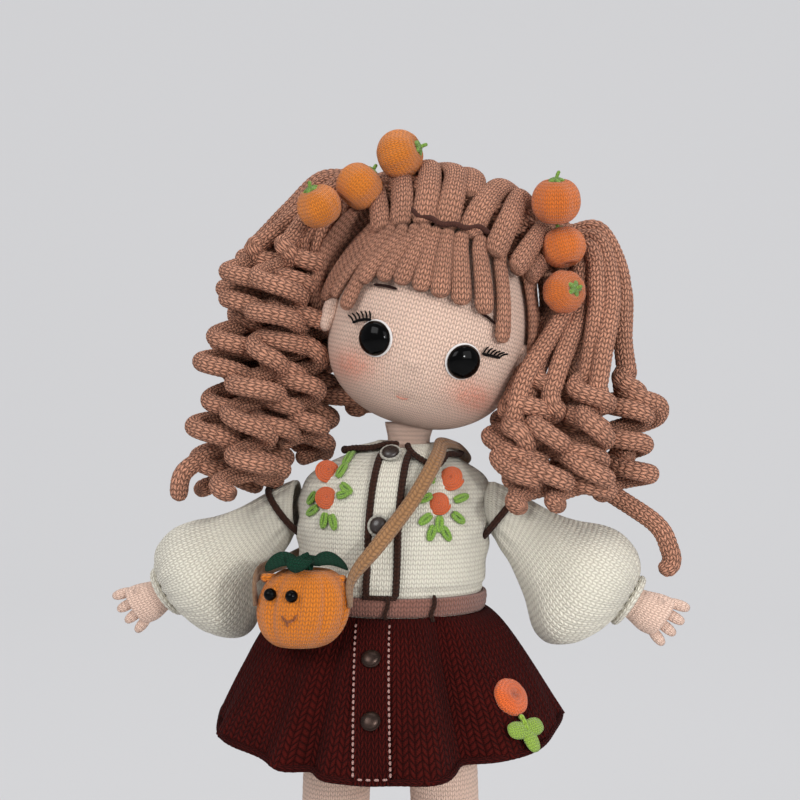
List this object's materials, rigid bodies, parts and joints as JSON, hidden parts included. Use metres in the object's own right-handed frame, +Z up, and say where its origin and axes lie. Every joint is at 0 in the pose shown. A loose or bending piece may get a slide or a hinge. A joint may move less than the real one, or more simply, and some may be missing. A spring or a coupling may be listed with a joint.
{
  "type": "amigurumi doll",
  "caption": "Standing crocheted doll with curled pigtails, a puff-sleeved blouse, a flared skirt and a round fruit-shaped bag on a cross-body strap; head, arms and bag move.",
  "frame": {"origin": "centre of the doll's overall box at the floor its soles stand on", "axes": "+Z up; the doll faces -Y; its left hand is towards +X"},
  "size_m": [0.2206, 0.1416, 0.3406],
  "materials": {
    "skin": "crocheted cotton yarn",
    "cream": "crocheted cotton yarn",
    "maroon": "crocheted cotton yarn",
    "belt": "crocheted cotton yarn",
    "strap": "crocheted cotton yarn",
    "hair": "crocheted cotton yarn",
    "orange": "crocheted cotton yarn",
    "green": "crocheted cotton yarn",
    "lime": "crocheted cotton yarn",
    "felt": "wool felt",
    "black": "polished safety eye",
    "bronze": "dark bronze snap button",
    "wood": "plain dowel"
  },
  "bodies": {
    "body": {"torso": "skin", "neck_dowel": "wood", "leg_left": "skin", "leg_right": "skin", "shoe_left": "maroon", "shoe_right": "maroon", "sole_left": "belt", "sole_right": "belt", "blouse": "cream", "blouse_placket": "cream", "blouse_button_1": "bronze", "blouse_button_2": "bronze", "collar_left": "cream", "collar_right": "cream", "belt": "belt", "skirt": "maroon", "skirt_placket": "maroon", "skirt_button_1": "bronze", "skirt_button_2": "bronze", "skirt_flower": "orange", "skirt_leaves": "lime", "bag_strap": "strap"},
    "head": {"head": "skin", "eye_left": "black", "eye_right": "black", "eye_felt_left": "felt", "eye_felt_right": "felt", "eye_washer_left": "black", "eye_washer_right": "black", "ear_left": "skin", "ear_right": "skin", "hair_cap": "hair", "fringe": "hair", "crown_left": "hair", "crown_right": "hair", "hair_tie_left": "hair", "hair_tie_right": "hair", "hair_fruit_1": "orange", "hair_fruit_2": "orange", "hair_fruit_3": "orange", "hair_fruit_4": "orange", "hair_fruit_5": "orange", "hair_fruit_6": "orange", "strand_right_1": "hair", "strand_right_2": "hair", "strand_right_3": "hair", "strand_right_4": "hair", "strand_left_1": "hair", "strand_left_2": "hair", "strand_left_3": "hair", "strand_left_4": "hair", "strand_left_5": "hair"},
    "arm_right": {"arm_right": "skin", "sleeve_right": "cream"},
    "arm_left": {"arm_left": "skin", "sleeve_left": "cream"},
    "bag": {"bag": "orange", "bag_eye_left": "black", "bag_eye_right": "black", "bag_leaves": "green"}
  },
  "joints": [
    {"name": "head_turn", "type": "hinge", "parent": "body", "child": "head", "pos_m": [0.004, 0, 0.233], "axis": [0, 0, 1], "range_deg": [-30, 30]},
    {"name": "arm_right_swing", "type": "hinge", "parent": "body", "child": "arm_right", "pos_m": [-0.0376, 0, 0.1995], "axis": [-1, 0, 0], "range_deg": [-30, 35]},
    {"name": "arm_left_swing", "type": "hinge", "parent": "body", "child": "arm_left", "pos_m": [0.0398, 0, 0.1995], "axis": [-1, 0, 0], "range_deg": [-30, 35]},
    {"name": "bag_swing", "type": "hinge", "parent": "body", "child": "bag", "pos_m": [-0.0252, -0.0405, 0.17865], "axis": [-1, 0, 0], "range_deg": [0, 60]}
  ]
}
